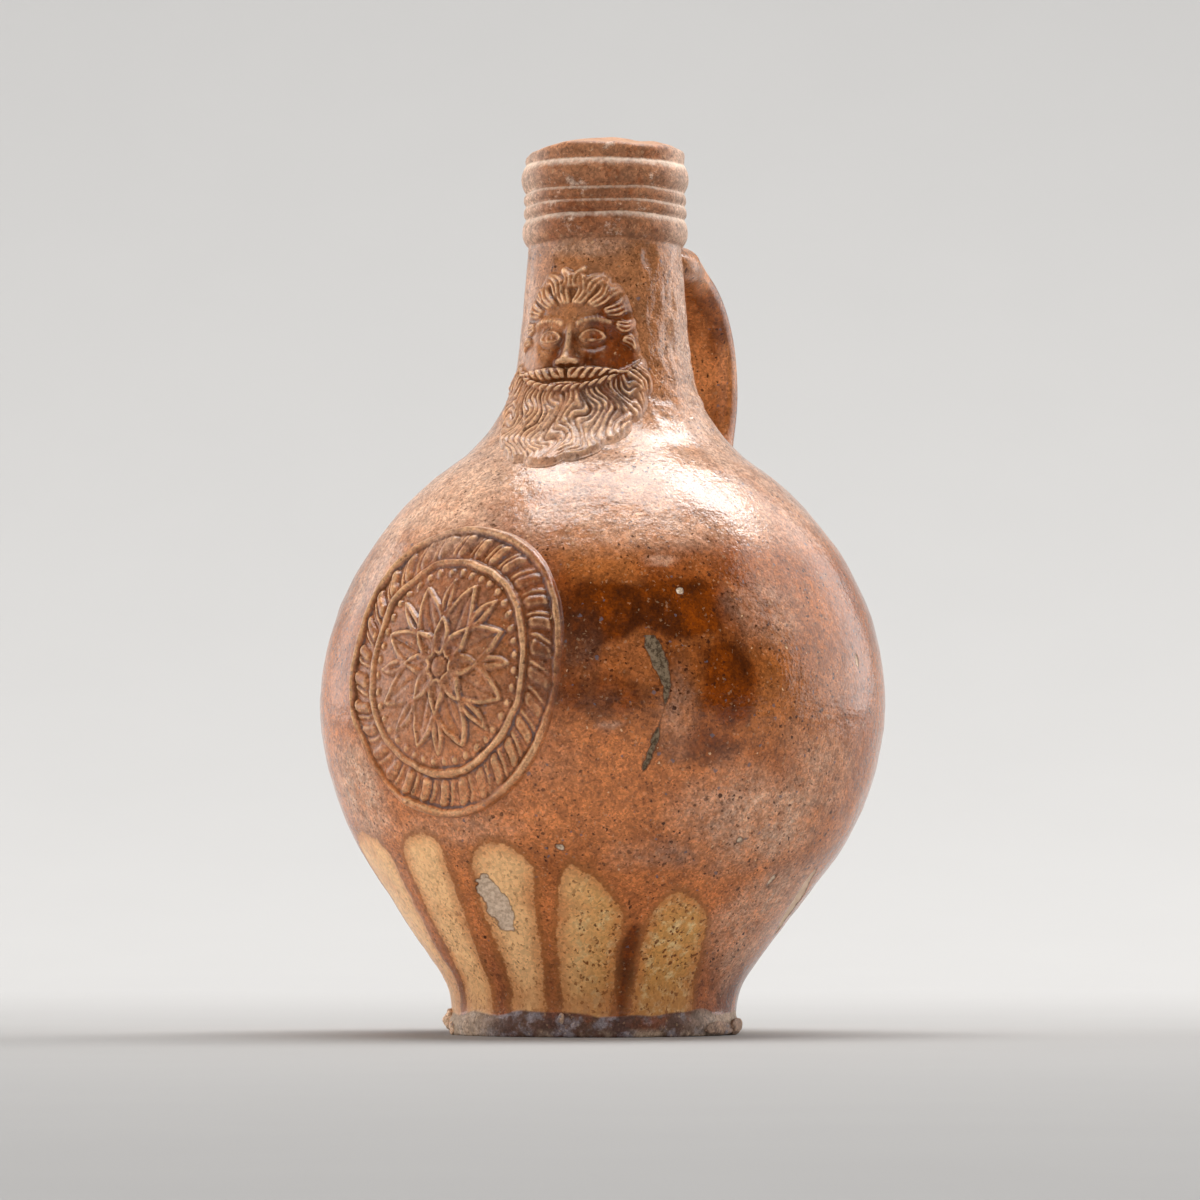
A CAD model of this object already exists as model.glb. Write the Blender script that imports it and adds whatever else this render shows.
from math import cos, pi, radians, sin

import bmesh
import bpy
import numpy as np
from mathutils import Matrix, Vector
from mathutils.bvhtree import BVHTree


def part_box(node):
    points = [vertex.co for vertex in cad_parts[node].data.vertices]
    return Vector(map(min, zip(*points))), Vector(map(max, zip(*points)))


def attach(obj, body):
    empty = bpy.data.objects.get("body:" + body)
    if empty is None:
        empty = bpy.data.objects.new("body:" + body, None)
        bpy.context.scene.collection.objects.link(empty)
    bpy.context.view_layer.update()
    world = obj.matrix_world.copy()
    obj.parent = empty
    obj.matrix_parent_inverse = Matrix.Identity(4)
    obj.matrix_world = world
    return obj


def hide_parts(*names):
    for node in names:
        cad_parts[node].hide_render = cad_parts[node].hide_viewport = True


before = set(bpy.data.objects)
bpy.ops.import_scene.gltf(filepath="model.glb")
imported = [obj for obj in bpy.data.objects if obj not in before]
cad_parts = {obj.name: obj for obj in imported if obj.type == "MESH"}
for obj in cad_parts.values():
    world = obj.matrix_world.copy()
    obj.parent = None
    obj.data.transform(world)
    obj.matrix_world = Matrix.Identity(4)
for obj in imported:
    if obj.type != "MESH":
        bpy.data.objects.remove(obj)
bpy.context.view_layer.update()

mm = 0.001
scene = bpy.context.scene
scene.view_settings.view_transform = "Standard"


# shaping helpers, all in millimetres on numpy arrays

def ramp(a, b, x):
    t = np.clip((x - a) / (b - a), 0, 1)
    return t * t * (3 - 2 * t)


def bell(x, w):
    return np.exp(-(x / w) ** 2)


def oval(u, v, u0, v0, a, b):
    return np.sqrt(((u - u0) / a) ** 2 + ((v - v0) / b) ** 2)


def dome(d):
    return np.sqrt(np.clip(1 - d * d, 0, 1))


def latticeValue(ix, iy, iz, seed):
    n = ix * 374761393 + iy * 668265263 + iz * 1440662683 + seed * 982451653
    n = (n ^ (n >> 13)) * 1274126177
    return ((n ^ (n >> 16)) & 65535) / 32767.5 - 1


def lot(i, seed):  # one steady number from 0 to 1 for each whole number
    return latticeValue(np.asarray(i).astype(np.int64), 0, 0, seed) / 2 + 0.5


def grain(p, size, seed):  # smooth noise from -1 to 1, with lumps of about that size
    q = np.asarray(p) / size
    cell = np.floor(q).astype(np.int64)
    f = q - cell
    f = f * f * (3 - 2 * f)
    total = np.zeros(q.shape[:-1])
    for corner in np.ndindex(2, 2, 2):
        weight = np.ones(q.shape[:-1])
        for axis, far in enumerate(corner):
            weight = weight * (f[..., axis] if far else 1 - f[..., axis])
        at = cell + np.array(corner)
        total = total + weight * latticeValue(at[..., 0], at[..., 1], at[..., 2], seed)
    return total


def lumps(p, layers):  # grains on top of each other, each with its height, size and seed
    return sum(height * grain(p, size, seed) for height, size, seed in layers)


def bearing(p):  # degrees round from the front towards +x
    return np.degrees(np.arctan2(p[..., 0], -p[..., 1]))


def apart(angle, other):  # degrees between two angles, from -180 to 180
    return (angle - other + 180) % 360 - 180


def runsAlong(points):  # the length run along a line of points, up to each
    return np.concatenate([[0], np.cumsum(np.linalg.norm(np.diff(points, axis=0), axis=1))])


def closedNet(rings, sides, inward=False):  # quads between rings, and fans to two hubs that come last
    hub, end = rings * sides, (rings - 1) * sides
    faces = []
    for j in range(sides):
        k = (j + 1) % sides
        faces += [(low + j, low + k, low + sides + k, low + sides + j) for low in range(0, end, sides)]
        faces += [(hub, k, j), (hub + 1, end + j, end + k)]
    return [face[:1] + face[:0:-1] for face in faces] if inward else faces


# the view of the photograph

viewer = dict(
    around=30.0,     # degrees from the front towards +x
    away=1362.0,     # from the jug's axis
    eyeHeight=32.0,
    tiltUp=3.15,
    panLeft=0.02,
    lens=165.66,     # on a 36 mm sensor
)


def placeCamera():
    turn = radians(viewer["around"])
    camera = bpy.data.objects.new("photoCamera", bpy.data.cameras.new("photoCamera"))
    camera.data.sensor_width = 36
    camera.data.lens = viewer["lens"]
    camera.data.clip_start = 0.05
    camera.location = (
        viewer["away"] * mm * sin(turn),
        -viewer["away"] * mm * cos(turn),
        viewer["eyeHeight"] * mm,
    )
    camera.rotation_euler = (radians(90 + viewer["tiltUp"]), 0, turn + radians(viewer["panLeft"]))
    scene.collection.objects.link(camera)
    scene.camera = camera


placeCamera()
print("camera placed")


# the wall's outline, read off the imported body

fired = dict(  # how the fired jug departs from the turned form, by height
    side=30.0,  # degrees from +x towards +y, to the side of the jug that fired darker
    shiftAt=[0, 25, 34, 46, 80, 110, 125, 136, 220],
    shift=[-2.0, -1.45, -0.8, 0.1, 0.35, 0.9, 0.9, 0.5, 0.9],  # towards that side
    fullAt=[0, 60, 82, 102, 122, 132, 142, 220],
    full=[0, 0, 0.35, -0.1, -0.8, -0.8, 0.1, 0],  # outwards
    ease=13,  # millimetres over which those values run together
    wobble=((0.35, 57, 1), (0.15, 23, 2)),
)
darkSide = np.array([cos(radians(fired["side"])), sin(radians(fired["side"])), 0.0])


def eased(z, at, value):  # a gentle curve through values at a few heights
    span = fired["ease"]
    level = np.arange(-20, 241.0)
    line = np.pad(np.interp(level, at, value), span // 2, "edge")
    return np.interp(z, level, np.convolve(line, np.ones(span) / span, "valid"))


def traceBody(node, step=0.25, spokes=12):  # radius of the wall and of the hollow at each height
    mesh = node.data
    tree = BVHTree.FromPolygons([v.co for v in mesh.vertices], [p.vertices[:] for p in mesh.polygons])
    heights = np.arange(0.05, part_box("jug_body")[1][2] / mm, step)
    turns = 2 * pi * np.arange(spokes) / spokes
    outside, inside = [], []
    for z in heights:
        axis = Vector((0, 0, z * mm))
        far, near = [], []
        for a in turns:
            spoke = Vector((sin(a), cos(a), 0))
            far.append(tree.ray_cast(axis + spoke * 0.3, -spoke)[0].xy.length / mm)
            near.append(tree.ray_cast(axis, spoke)[0].xy.length / mm)
        outside.append(max(far))
        inside.append(max(near))
    outside, inside = np.array(outside), np.array(inside)
    hollow = np.abs(outside - inside) > 1  # below the floor both rays meet the same wall
    return heights, outside, heights[hollow], inside[hollow]


wallZ, wallR, hollowZ, hollowR = traceBody(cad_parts["jug_body"])
wallR = wallR + eased(wallZ, fired["fullAt"], fired["full"])
wallRun = runsAlong(np.stack([wallR, wallZ], -1))
topZ = wallZ[-1]
collarZ = wallZ[np.argmax((wallZ > 150) & (np.gradient(wallR, wallZ) > 0.5))]


def wallNormal(span):  # out and up, over so many steps of the traced wall
    r, z = (np.convolve(np.gradient(a), np.ones(span) / span, "same") for a in (wallR, wallZ))
    return z / np.hypot(r, z), -r / np.hypot(r, z)


normalR, normalZ = wallNormal(9)
ledgeZ = np.where(wallZ > collarZ, wallNormal(3)[1], normalZ)  # how far the wall faces up
upperWall = wallZ > wallZ[np.argmax(wallR)]
print("wall traced, collar from", round(float(collarZ), 1), "mm")


def wobble(p):  # slow unevenness of the thrown wall, shared by all that sits on it
    return lumps(p, fired["wobble"])


def lean(p):
    return p + eased(p[..., 2], fired["shiftAt"], fired["shift"])[..., None] * darkSide


def around(angle, r, z):
    return np.stack([r * np.sin(angle), -r * np.cos(angle), z], -1)


def onWall(run, angle, rise):  # a point above the wall, by its run up from the foot
    z = np.interp(run, wallRun, wallZ)
    foot = around(angle, np.interp(run, wallRun, wallR), z)
    out = around(angle, np.interp(run, wallRun, normalR), np.interp(run, wallRun, normalZ))
    return lean(foot + out * (rise + wobble(foot))[..., None])


def runAt(z):
    return np.interp(z, wallZ, wallRun)


def heightAt(r):  # of the shoulder, where the wall has that radius
    return np.interp(-r, -wallR[upperWall], wallZ[upperWall])


def newPiece(name, points, faces, node):
    mesh = bpy.data.meshes.new(name)
    mesh.from_pydata((np.asarray(points) * mm).tolist(), [], faces)
    mesh.validate()
    mesh.update()
    mesh.shade_smooth()
    piece = bpy.data.objects.new(name, mesh)
    scene.collection.objects.link(piece)
    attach(piece, "root")
    if node:
        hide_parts(node)
    return piece


def store(piece, name, values):
    layer = piece.data.attributes.new(name, "FLOAT", "POINT")
    layer.data.foreach_set("value", np.asarray(values, np.float32).ravel())


# the thrown body

thrown = dict(
    columns=312,
    rows=dict(under=4.0, foot=0.55, wall=1.32, collar=0.5, bore=2.5, hollow=6.0),
    footTop=7.0,
    ringRound=9.0,  # the radius that throwing rings are drawn on: the smaller, the less they waver
    washStep=0.12,  # how far the wash stands proud of the bare clay
    washLow=54,  # the height that the bare clay stays under
    arch=dict(share=0.16, radius=58, least=2.2, roundness=2.6),  # how the tops of its windows bend
    pocked=dict(angle=(46, 66, 108, 130), height=(146, 156, 188, 195), pits=1.2, grit=0.4),
    scarDepth=dict(edge=0.22, gain=0.10, least=0.15, most=0.7),
    crust=(6.6, 4.4),  # the heights where the crust on the foot ends and where it is full
    lipRound=(3.0, 1.3),  # height and depth of the worn rounding of the lip
    lipWorn=[(-64, 46, 1.9), (62, 12, 0.5)],  # angle, how far round and how far down the lip is worn
    lipLow=0.2,
)
thrownSkin = dict(  # height, size and seed of the lumps
    rings=((0.10, 3.4, 11), (0.06, 1.9, 12)),
    wall=((0.10, 7, 13),),
    fine=((0.05, 3.1, 14),),
    crustEdge=((1.3, 7, 17),),
    crust=((0.26, 5.0, 18), (0.14, 1.7, 19)),
    collar=((0.14, 4.4, 20), (0.07, 1.5, 27)),
    cordons=((0.45, 11, 28),),
    lip=((0.35, 9, 25), (0.22, 3.2, 26)),
    windowEdge=((0.9, 7, 21), (0.4, 2.1, 22)),
    markEdge=((0.3, 13, 24), (0.15, 4, 28)),
    scarEdge=((0.35, 2.3, 31), (0.2, 0.9, 32)),
    scarFloor=((0.45, 1.1, 33),),
)
windows = [  # bare clay the wash missed: top, edges at the top and at the foot, peak, slant to the right
    (49.5, -52, -29, -64, -38, 0.55, 0.0),
    (49.0, -23, -8.5, -32, -15.5, 0.62, 0.0),
    (46.2, -2.5, 14.5, -4, 9.5, 0.45, 0.1),
    (40.8, 19.5, 37.5, 17.5, 36.0, 0.22, 0.42),
    (34.2, 45, 62, 44.5, 73, 0.42, 0.1),
    (37.0, 128, 146, 126, 150, 0.5, 0.2),
    (44.0, 163, 181, 160, 184, 0.5, 0.0),
    (47.5, 194, 208, 192, 211, 0.4, 0.1),
    (42.0, 222, 240, 220, 243, 0.6, 0.0),
]
smears = [  # thick dark wash: angle, height, half width in degrees, half height, strength
    (31, 101, 15, 8, 1.0),
    (44, 101, 13, 8, 1.0),
    (55, 86, 7, 12, 0.8),
    (47, 86, 10, 14, 0.45),
    (22, 91, 9, 8, 0.6),
    (28, 81, 12, 7, 0.55),
    (30, 84, 20, 15, 0.36),
    (49, 69, 10, 6, 0.55),
    (26, 140, 13, 6, 0.4),
    (61, 132, 8, 5, 0.4),
    (66, 42, 12, 6, 0.3),
    (46, 44, 14, 4, 0.35),
    (41, 14, 3.2, 13, 0.9),
    (8, 204, 34, 5, 0.5),
    (12, 199, 30, 4, 0.75),
    (35, 163, 16, 15, 1.0),
    (8, 164, 14, 9, 0.6),
    (150, 104, 40, 13, 0.9),
    (-105, 108, 36, 12, 0.8),
    (-150, 66, 30, 16, 0.6),
]
blushes = [  # thin wash that fired orange, in the same order
    (25, 66, 30, 13, 0.8),
    (-8, 54, 40, 9, 1.0),
    (-52, 72, 20, 24, 0.9),
    (32, 88, 9, 8, 0.7),
    (-20, 128, 30, 8, 0.4),
    (115, 78, 24, 18, 0.5),
    (-95, 60, 40, 14, 0.7),
    (180, 62, 50, 10, 0.6),
]
dusts = [  # dull and greyed places, in the same order
    (45.0, 76, 3.2, 12, 0.35),
    (42, 113.4, 4.0, 1.2, 0.6),
    (31, 73.6, 2.4, 0.9, 0.6),
    (80, 74, 15, 18, 0.15),
    (68, 52, 20, 12, 0.9),
    (80, 63, 12, 13, 0.6),
    (48, 44, 14, 4, 0.35),
    (86, 28, 18, 16, 0.8),
    (40, 122, 34, 6, 0.4),
    (66, 101, 9, 9, 0.4),
    (-36, 114, 17, 11, 0.7),
    (-8, 122, 16, 7, 0.7),
    (-46, 130, 40, 14, 0.95),
    (-17, 133, 18, 9, 0.8),
    (-74, 96, 18, 28, 0.5),
    (-32, 60, 11, 11, 0.9),
    (-6, 50, 16, 4, 0.4),
    (-6, 84, 26, 34, 0.28),
    (12, 193, 28, 2.6, 0.6),
    (-60, 178, 30, 24, 0.75),
    (110, 172, 28, 26, 0.8),
    (160, 132, 30, 10, 0.4),
    (-150, 120, 30, 12, 0.4),
]
scars = [  # where the glaze broke away: angle, height, half width, half height, tilt in degrees, paleness
    (1.0, 32.3, 3.3, 6.6, 20, 0.4),
    (45.8, 105.9, 0.9, 0.8, 20, -0.15),
    (92.7, 90.7, 0.9, 1.7, 10, 0.6),
    (62.9, 47.1, 0.8, 0.6, 0, 0.0),
    (80.0, 37.7, 0.8, 1.5, -15, 0.5),
    (20.5, 45.5, 1.0, 0.6, -20, 0.0),
    (103.5, 32.5, 2.7, 8.6, 32, 1.0),
    (200.0, 76.0, 3.4, 5.0, 15, 0.4),
    (-128.0, 92.0, 1.8, 2.8, -25, 0.2),
]
crescent = dict(  # a long thin scar: angle, height and half width along it
    angle=[38.6, 39.6, 41.2, 42.2, 42.0, 41.0, 40.2, 39.2, 38.1],
    height=[95.6, 92.6, 88.0, 83.0, 78.5, 74.0, 70.5, 66.5, 62.6],
    half=[0.9, 2.0, 1.9, 1.0, 0.05, 0.15, 0.7, 0.7, 0.2],
    tone=-0.8,
)


def bodyProfile():
    def spaced(z, r, gap):
        run = runsAlong(np.stack([r, z], -1))
        at = np.linspace(0, run[-1], max(2, int(run[-1] / gap)))
        return list(zip(np.interp(at, run, r), np.interp(at, run, z)))

    gaps, footTop = thrown["rows"], thrown["footTop"]
    parts = [[(r, 0.0) for r in np.arange(gaps["under"], wallR[0], gaps["under"])]]
    for low, high, gap in (
        (0, footTop, "foot"),
        (footTop, collarZ - 1, "wall"),
        (collarZ - 1, topZ + 1, "collar"),
    ):
        pick = (wallZ >= low) & (wallZ < high + 0.25)
        parts.append(spaced(wallZ[pick], wallR[pick], gaps[gap])[:-1])
    parts[-1].append((wallR[-1], topZ))
    inner = hollowZ[::-1], hollowR[::-1]
    boreEnd = np.argmax(inner[0] < collarZ)
    parts.append(spaced(inner[0][:boreEnd], inner[1][:boreEnd], gaps["bore"]))
    parts.append(spaced(inner[0][boreEnd:], inner[1][boreEnd:], gaps["hollow"]))
    floorR, floorZ = parts[-1][-1]
    parts.append([(r, floorZ) for r in np.arange(floorR - gaps["hollow"], 2, -gaps["hollow"])])
    return np.array([p for part in parts for p in part])


def latheMesh(profile, columns):
    angles = 2 * pi * np.arange(columns) / columns
    points = around(angles[None, :], profile[:, 0, None], profile[:, 1, None] + 0 * angles)
    hubs = [[0, 0, profile[0, 1]], [0, 0, profile[-1, 1]]]
    return np.concatenate([points.reshape(-1, 3), hubs]), closedNet(len(profile), columns)


def bareField(angle, z, r):  # millimetres inside the edge of a window, negative outside
    best = np.full(z.shape, -20.0)
    bent = thrown["arch"]
    for top, left, right, footLeft, footRight, peak, slant in windows:
        drop = np.clip((top - z) / (top - 6), 0, 1)
        a0 = left + (footLeft - left) * drop
        a1 = right + (footRight - right) * drop
        middle = a0 + (a1 - a0) * peak
        x = apart(angle, middle)
        half = np.where(x < 0, middle - a0, a1 - middle)
        sideways = (half - np.abs(x)) * radians(1) * r
        c = np.clip(np.abs(x) / half, 0, 1.5)
        bend = bent["share"] * (right - left) * radians(1) * bent["radius"] + bent["least"]
        arch = top - z - bend * c ** bent["roundness"] - slant * np.clip(x, 0, 99) * radians(1) * r
        best = np.maximum(best, np.minimum(sideways, arch))
    return best


def scarField(angle, z, r, p):  # millimetres inside the edge of a scar, and how pale the scar is
    best, pale = np.full(z.shape, -9.0), np.zeros(z.shape)
    rough = lumps(p, thrownSkin["scarEdge"])
    for a, h, halfW, halfH, tilt, tone in scars:
        x, y = apart(angle, a) * radians(1) * r, z - h
        t = radians(tilt)
        d = oval(x * cos(t) + y * sin(t), y * cos(t) - x * sin(t), 0, 0, halfW, halfH)
        depth = (1 - d + rough * 0.55) * min(halfW, halfH)
        pale = np.where(depth > best, tone, pale)
        best = np.maximum(best, depth)
    down = -np.array(crescent["height"])
    line = np.interp(-z, down, crescent["angle"])
    half = np.interp(-z, down, crescent["half"], 0, 0)
    off = np.abs(apart(angle, line)) * radians(1) * r
    depth = np.where(half > 0, half - off + rough * 0.9, -9)
    return np.maximum(best, depth), np.where(depth > best, crescent["tone"], pale)


def patches(spots, angle, z, p):  # how strongly a list of places marks each point
    mark = np.zeros(len(p))
    ragged = lumps(p, thrownSkin["markEdge"])
    for a, h, halfA, halfZ, strength in spots:
        d = np.hypot(apart(angle, a) / halfA, (z - h) / halfZ)
        mark = np.maximum(mark, strength * ramp(1.5, 0.4, d + ragged))
    return mark


def storeMarks(piece, p):  # the marks run on over whatever sits on the wall
    angle, z = bearing(p), p[:, 2]
    for name, spots in (("deep", smears), ("blush", blushes), ("dust", dusts)):
        store(piece, name, patches(spots, angle, z, p))
    store(piece, "ledge", np.interp(z, wallZ, ledgeZ))


def refineScars(mesh):  # smaller faces where the scars are
    bm = bmesh.new()
    bm.from_mesh(mesh)
    centres = np.array([f.calc_center_median() for f in bm.faces]) / mm
    z, r = centres[:, 2], np.hypot(centres[:, 0], centres[:, 1])
    outer = r > np.interp(z, wallZ, wallR) - 1
    near = scarField(bearing(centres), z, r, centres)[0] > -1.6
    bm.faces.ensure_lookup_table()
    edges = dict.fromkeys(e for i in np.nonzero(near & outer)[0] for e in bm.faces[i].edges)
    bmesh.ops.subdivide_edges(bm, edges=list(edges), cuts=3, use_grid_fill=True)
    bmesh.ops.triangulate(bm, faces=[f for f in bm.faces if len(f.verts) > 4])
    bm.to_mesh(mesh)
    bm.free()
    mesh.shade_smooth()


def pockMarks(angle, z):  # a rough place on the neck, beside the handle
    (a0, a1, a2, a3), (z0, z1, z2, z3) = thrown["pocked"]["angle"], thrown["pocked"]["height"]
    return ramp(a0, a1, angle) * ramp(a3, a2, angle) * ramp(z0, z1, z) * ramp(z3, z2, z)


def wallRise(p, angle, z, marks):  # how far each point stands out from the traced wall
    skin, pocked, broken = thrownSkin, thrown["pocked"], thrown["scarDepth"]
    ringed = thrown["ringRound"]
    turned = np.stack([z, ringed * np.sin(np.radians(angle)), ringed * np.cos(np.radians(angle))], -1)
    wallOnly = ramp(6, 14, z)
    rise = wobble(p) + lumps(turned, skin["rings"]) * wallOnly
    rise += lumps(p, skin["wall"]) * wallOnly + lumps(p, skin["fine"])
    rise -= thrown["washStep"] * ramp(-0.3, 0.6, marks["bare"]) * wallOnly * (z < thrown["washLow"])
    pits = np.clip(grain(p, 4.3, 15) - 0.05, 0, 1)
    rise -= marks["pocks"] * (pocked["pits"] * pits + pocked["grit"] * grain(p, 1.9, 16))
    depth = np.clip(broken["edge"] + broken["gain"] * marks["scar"], broken["least"], broken["most"])
    rise -= depth * ramp(-0.12, 0.35, marks["scar"]) * (0.85 + lumps(p, skin["scarFloor"]))
    rise += marks["crust"] * lumps(p, skin["crust"])
    rise += ramp(collarZ - 2, collarZ + 2, z) * lumps(p, skin["collar"])
    lipHigh, lipDeep = thrown["lipRound"]
    return rise - lipDeep * ramp(topZ - lipHigh, topZ + 0.6, z) ** 1.5


def lipLift(p, angle):  # the uneven, worn top of the lip
    lift = lumps(p, thrownSkin["lip"]) - thrown["lipLow"]
    for at, wide, down in thrown["lipWorn"]:
        lift = lift - down * bell(apart(angle, at), wide)
    return lift


def makeBody():
    points, faces = latheMesh(bodyProfile(), thrown["columns"])
    body = newPiece("jugBody", points, faces, "jug_body")
    mesh = body.data
    refineScars(mesh)
    flat = np.empty(len(mesh.vertices) * 3)
    mesh.vertices.foreach_get("co", flat)
    p = flat.reshape(-1, 3) / mm
    z, r, angle = p[:, 2], np.hypot(p[:, 0], p[:, 1]), bearing(p)
    under = z <= 0.01
    outer = (r > np.interp(z, wallZ, wallR) - 0.6) & ~under
    scar, pale = scarField(angle, z, r, p)
    crustEnd, crustFull = thrown["crust"]
    marks = dict(
        bare=bareField(angle, z, r) + lumps(p, thrownSkin["windowEdge"]),
        scar=np.where(outer, scar, -9.0),
        pale=pale,
        crust=ramp(crustEnd, crustFull, z + lumps(p, thrownSkin["crustEdge"])) * ~under,
        pocks=pockMarks(angle, z),
        lip=ramp(topZ - 3.5, topZ - 1, z),
        sideways=np.sin(np.radians(angle - fired["side"])),
    )
    for name, values in marks.items():
        store(body, name, values)
    storeMarks(body, p)

    rise = np.where(outer, wallRise(p, angle, z, marks), np.where(under, 0, wobble(p)))
    out = around(np.radians(angle), np.interp(z, wallZ, normalR), np.interp(z, wallZ, normalZ))
    q = p + out * rise[:, None]
    q[:, 2] += np.where(under, 0, lipLift(p, angle) * ramp(topZ - 5, topZ - 0.5, z))
    cordons = ramp(collarZ - 2, collarZ + 2, z) * ramp(topZ, topZ - 4, z)
    q[:, 2] += np.where(outer, cordons * lumps(q, thrownSkin["cordons"]), 0)
    q[:, 2] = np.maximum(q[:, 2], 0)
    mesh.vertices.foreach_set("co", (lean(q) * mm).ravel())
    mesh.update()
    return body


body = makeBody()
print("body thrown,", len(body.data.polygons), "faces")


# sprigs: thin moulded pieces on a polar net over the wall

sprigNet = dict(
    sectors=440, backRings=10, backDepth=0.5,
    crisp=0.4,  # how much of the pressed edges the glaze leaves
    crestReach=3.2,
)


def sprig(name, node, centreRun, outline, relief, rings, soften):
    sectors, backRings, backDepth = sprigNet["sectors"], sprigNet["backRings"], sprigNet["backDepth"]
    turn = radians(bearing(np.mean([v.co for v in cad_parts[node].data.vertices], 0)))
    a = 2 * pi * np.arange(sectors) / sectors
    edgeU, edgeV = outline(a) * np.cos(a), outline(a) * np.sin(a)
    f = np.linspace(0, 1, rings + 1)[1:, None] + 0 * a
    u, v = f * edgeU, f * edgeV

    def ringMean(u, v, f, far):
        spokes = np.linspace(0, 2 * pi, 9)[:-1]
        return sum(relief(u + far * cos(q), v + far * sin(q), f) for q in spokes) / len(spokes)

    def height(u, v, f):  # the glaze rounds the pressed edges
        crisp = sprigNet["crisp"]
        return crisp * relief(u, v, f) + (1 - crisp) * ringMean(u, v, f, soften)

    def place(u, v, h):
        run = centreRun + v
        return onWall(run, turn + u / np.interp(run, wallRun, wallR), h).reshape(-1, 3)

    h = height(u, v, f)
    dot = np.zeros((1, 1))
    g = np.linspace(1, 0, backRings + 1)[:-1, None]
    points = np.concatenate([
        place(u, v, h),
        place(g * edgeU, g * edgeV, 0 * g * a - backDepth),
        place(dot, dot, height(dot, dot, dot)),
        place(dot, dot, dot - backDepth),
    ])
    piece = newPiece(name, points, closedNet(rings + backRings, sectors, True), node)
    crest = h - ringMean(u, v, f, sprigNet["crestReach"] * soften)  # above or below what lies round about
    crest = crest * ramp(1.0, 0.94, f)
    store(piece, "crest", np.concatenate([crest.ravel(), np.zeros(backRings * sectors + 2)]))
    storeMarks(piece, points)
    return piece


# bearded mask: u runs across the face and v up it, from the base of the nose

face = dict(  # brow, nose and chin stand a third of the face apart
    browV=10.5, eyeU=5.3, eyeV=7.5, mouthV=-3.5,
    halfW=18.5, beardHalfW=22.0, top=31.5, crown=28.5, drop=33.0, lobes=18, depth=0.8,
    skin=((0.12, 3.1, 46), (0.06, 1.3, 47)),
)
faceMounds = [  # height, place across and up, half width, half height
    (1.0, 8.0, 1.8, 4.0, 4.0),  # cheeks
    (-0.6, 12.5, 6.0, 2.6, 7.0),  # temples
    (0.5, 0.0, 15.0, 8.0, 3.5),  # forehead
    (-1.5, 5.3, 7.5, 4.0, 2.7),  # eye sockets
    (1.0, 0.0, 1.7, 1.5, 1.4),  # tip of the nose
    (1.5, 2.0, 1.1, 1.05, 1.05),  # wings of the nose
    (-0.9, 1.1, -0.1, 0.6, 0.5),  # nostrils
    (1.2, 0.0, -5.0, 2.8, 0.8),  # lower lip
]
hairLocks = [  # root across and up, heading outwards in degrees, length, half width, curl
    (1.0, 15.2, 16, 9.0, 1.8, 1.6),
    (3.0, 17.6, 30, 9.0, 1.9, -1.8),
    (4.2, 14.9, 40, 9.5, 1.9, 1.8),
    (7.0, 16.6, 54, 8.6, 1.8, -1.8),
    (7.4, 13.4, 62, 8.8, 1.8, 1.7),
    (10.4, 14.0, 76, 6.8, 1.7, -1.5),
    (10.2, 10.8, 88, 6.6, 1.6, 1.4),
    (12.2, 7.6, 108, 4.8, 1.4, -1.0),
    (0.6, 19.6, 8, 6.4, 1.6, -1.4),
    (5.6, 20.6, 42, 6.0, 1.5, 1.2),
]


def maskOutline(a):
    down = ramp(0.3, -0.3, np.sin(a))
    halfW = face["halfW"] + (face["beardHalfW"] - face["halfW"]) * down
    halfH = face["crown"] + (face["drop"] - face["crown"]) * down
    lobes = 1 - 0.06 * down * (1 - np.abs(np.sin(face["lobes"] / 2 * a))) ** 2
    return lobes / np.hypot(np.cos(a) / halfW, np.sin(a) / halfH)


def strands(across, width, seed, soft):  # rounded strands side by side
    i = np.floor(across / width)
    q = across / width - i - 0.5
    return (1 - np.abs(2 * q) ** 2.2) ** soft * (0.72 + 0.28 * lot(i, seed))


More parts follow.
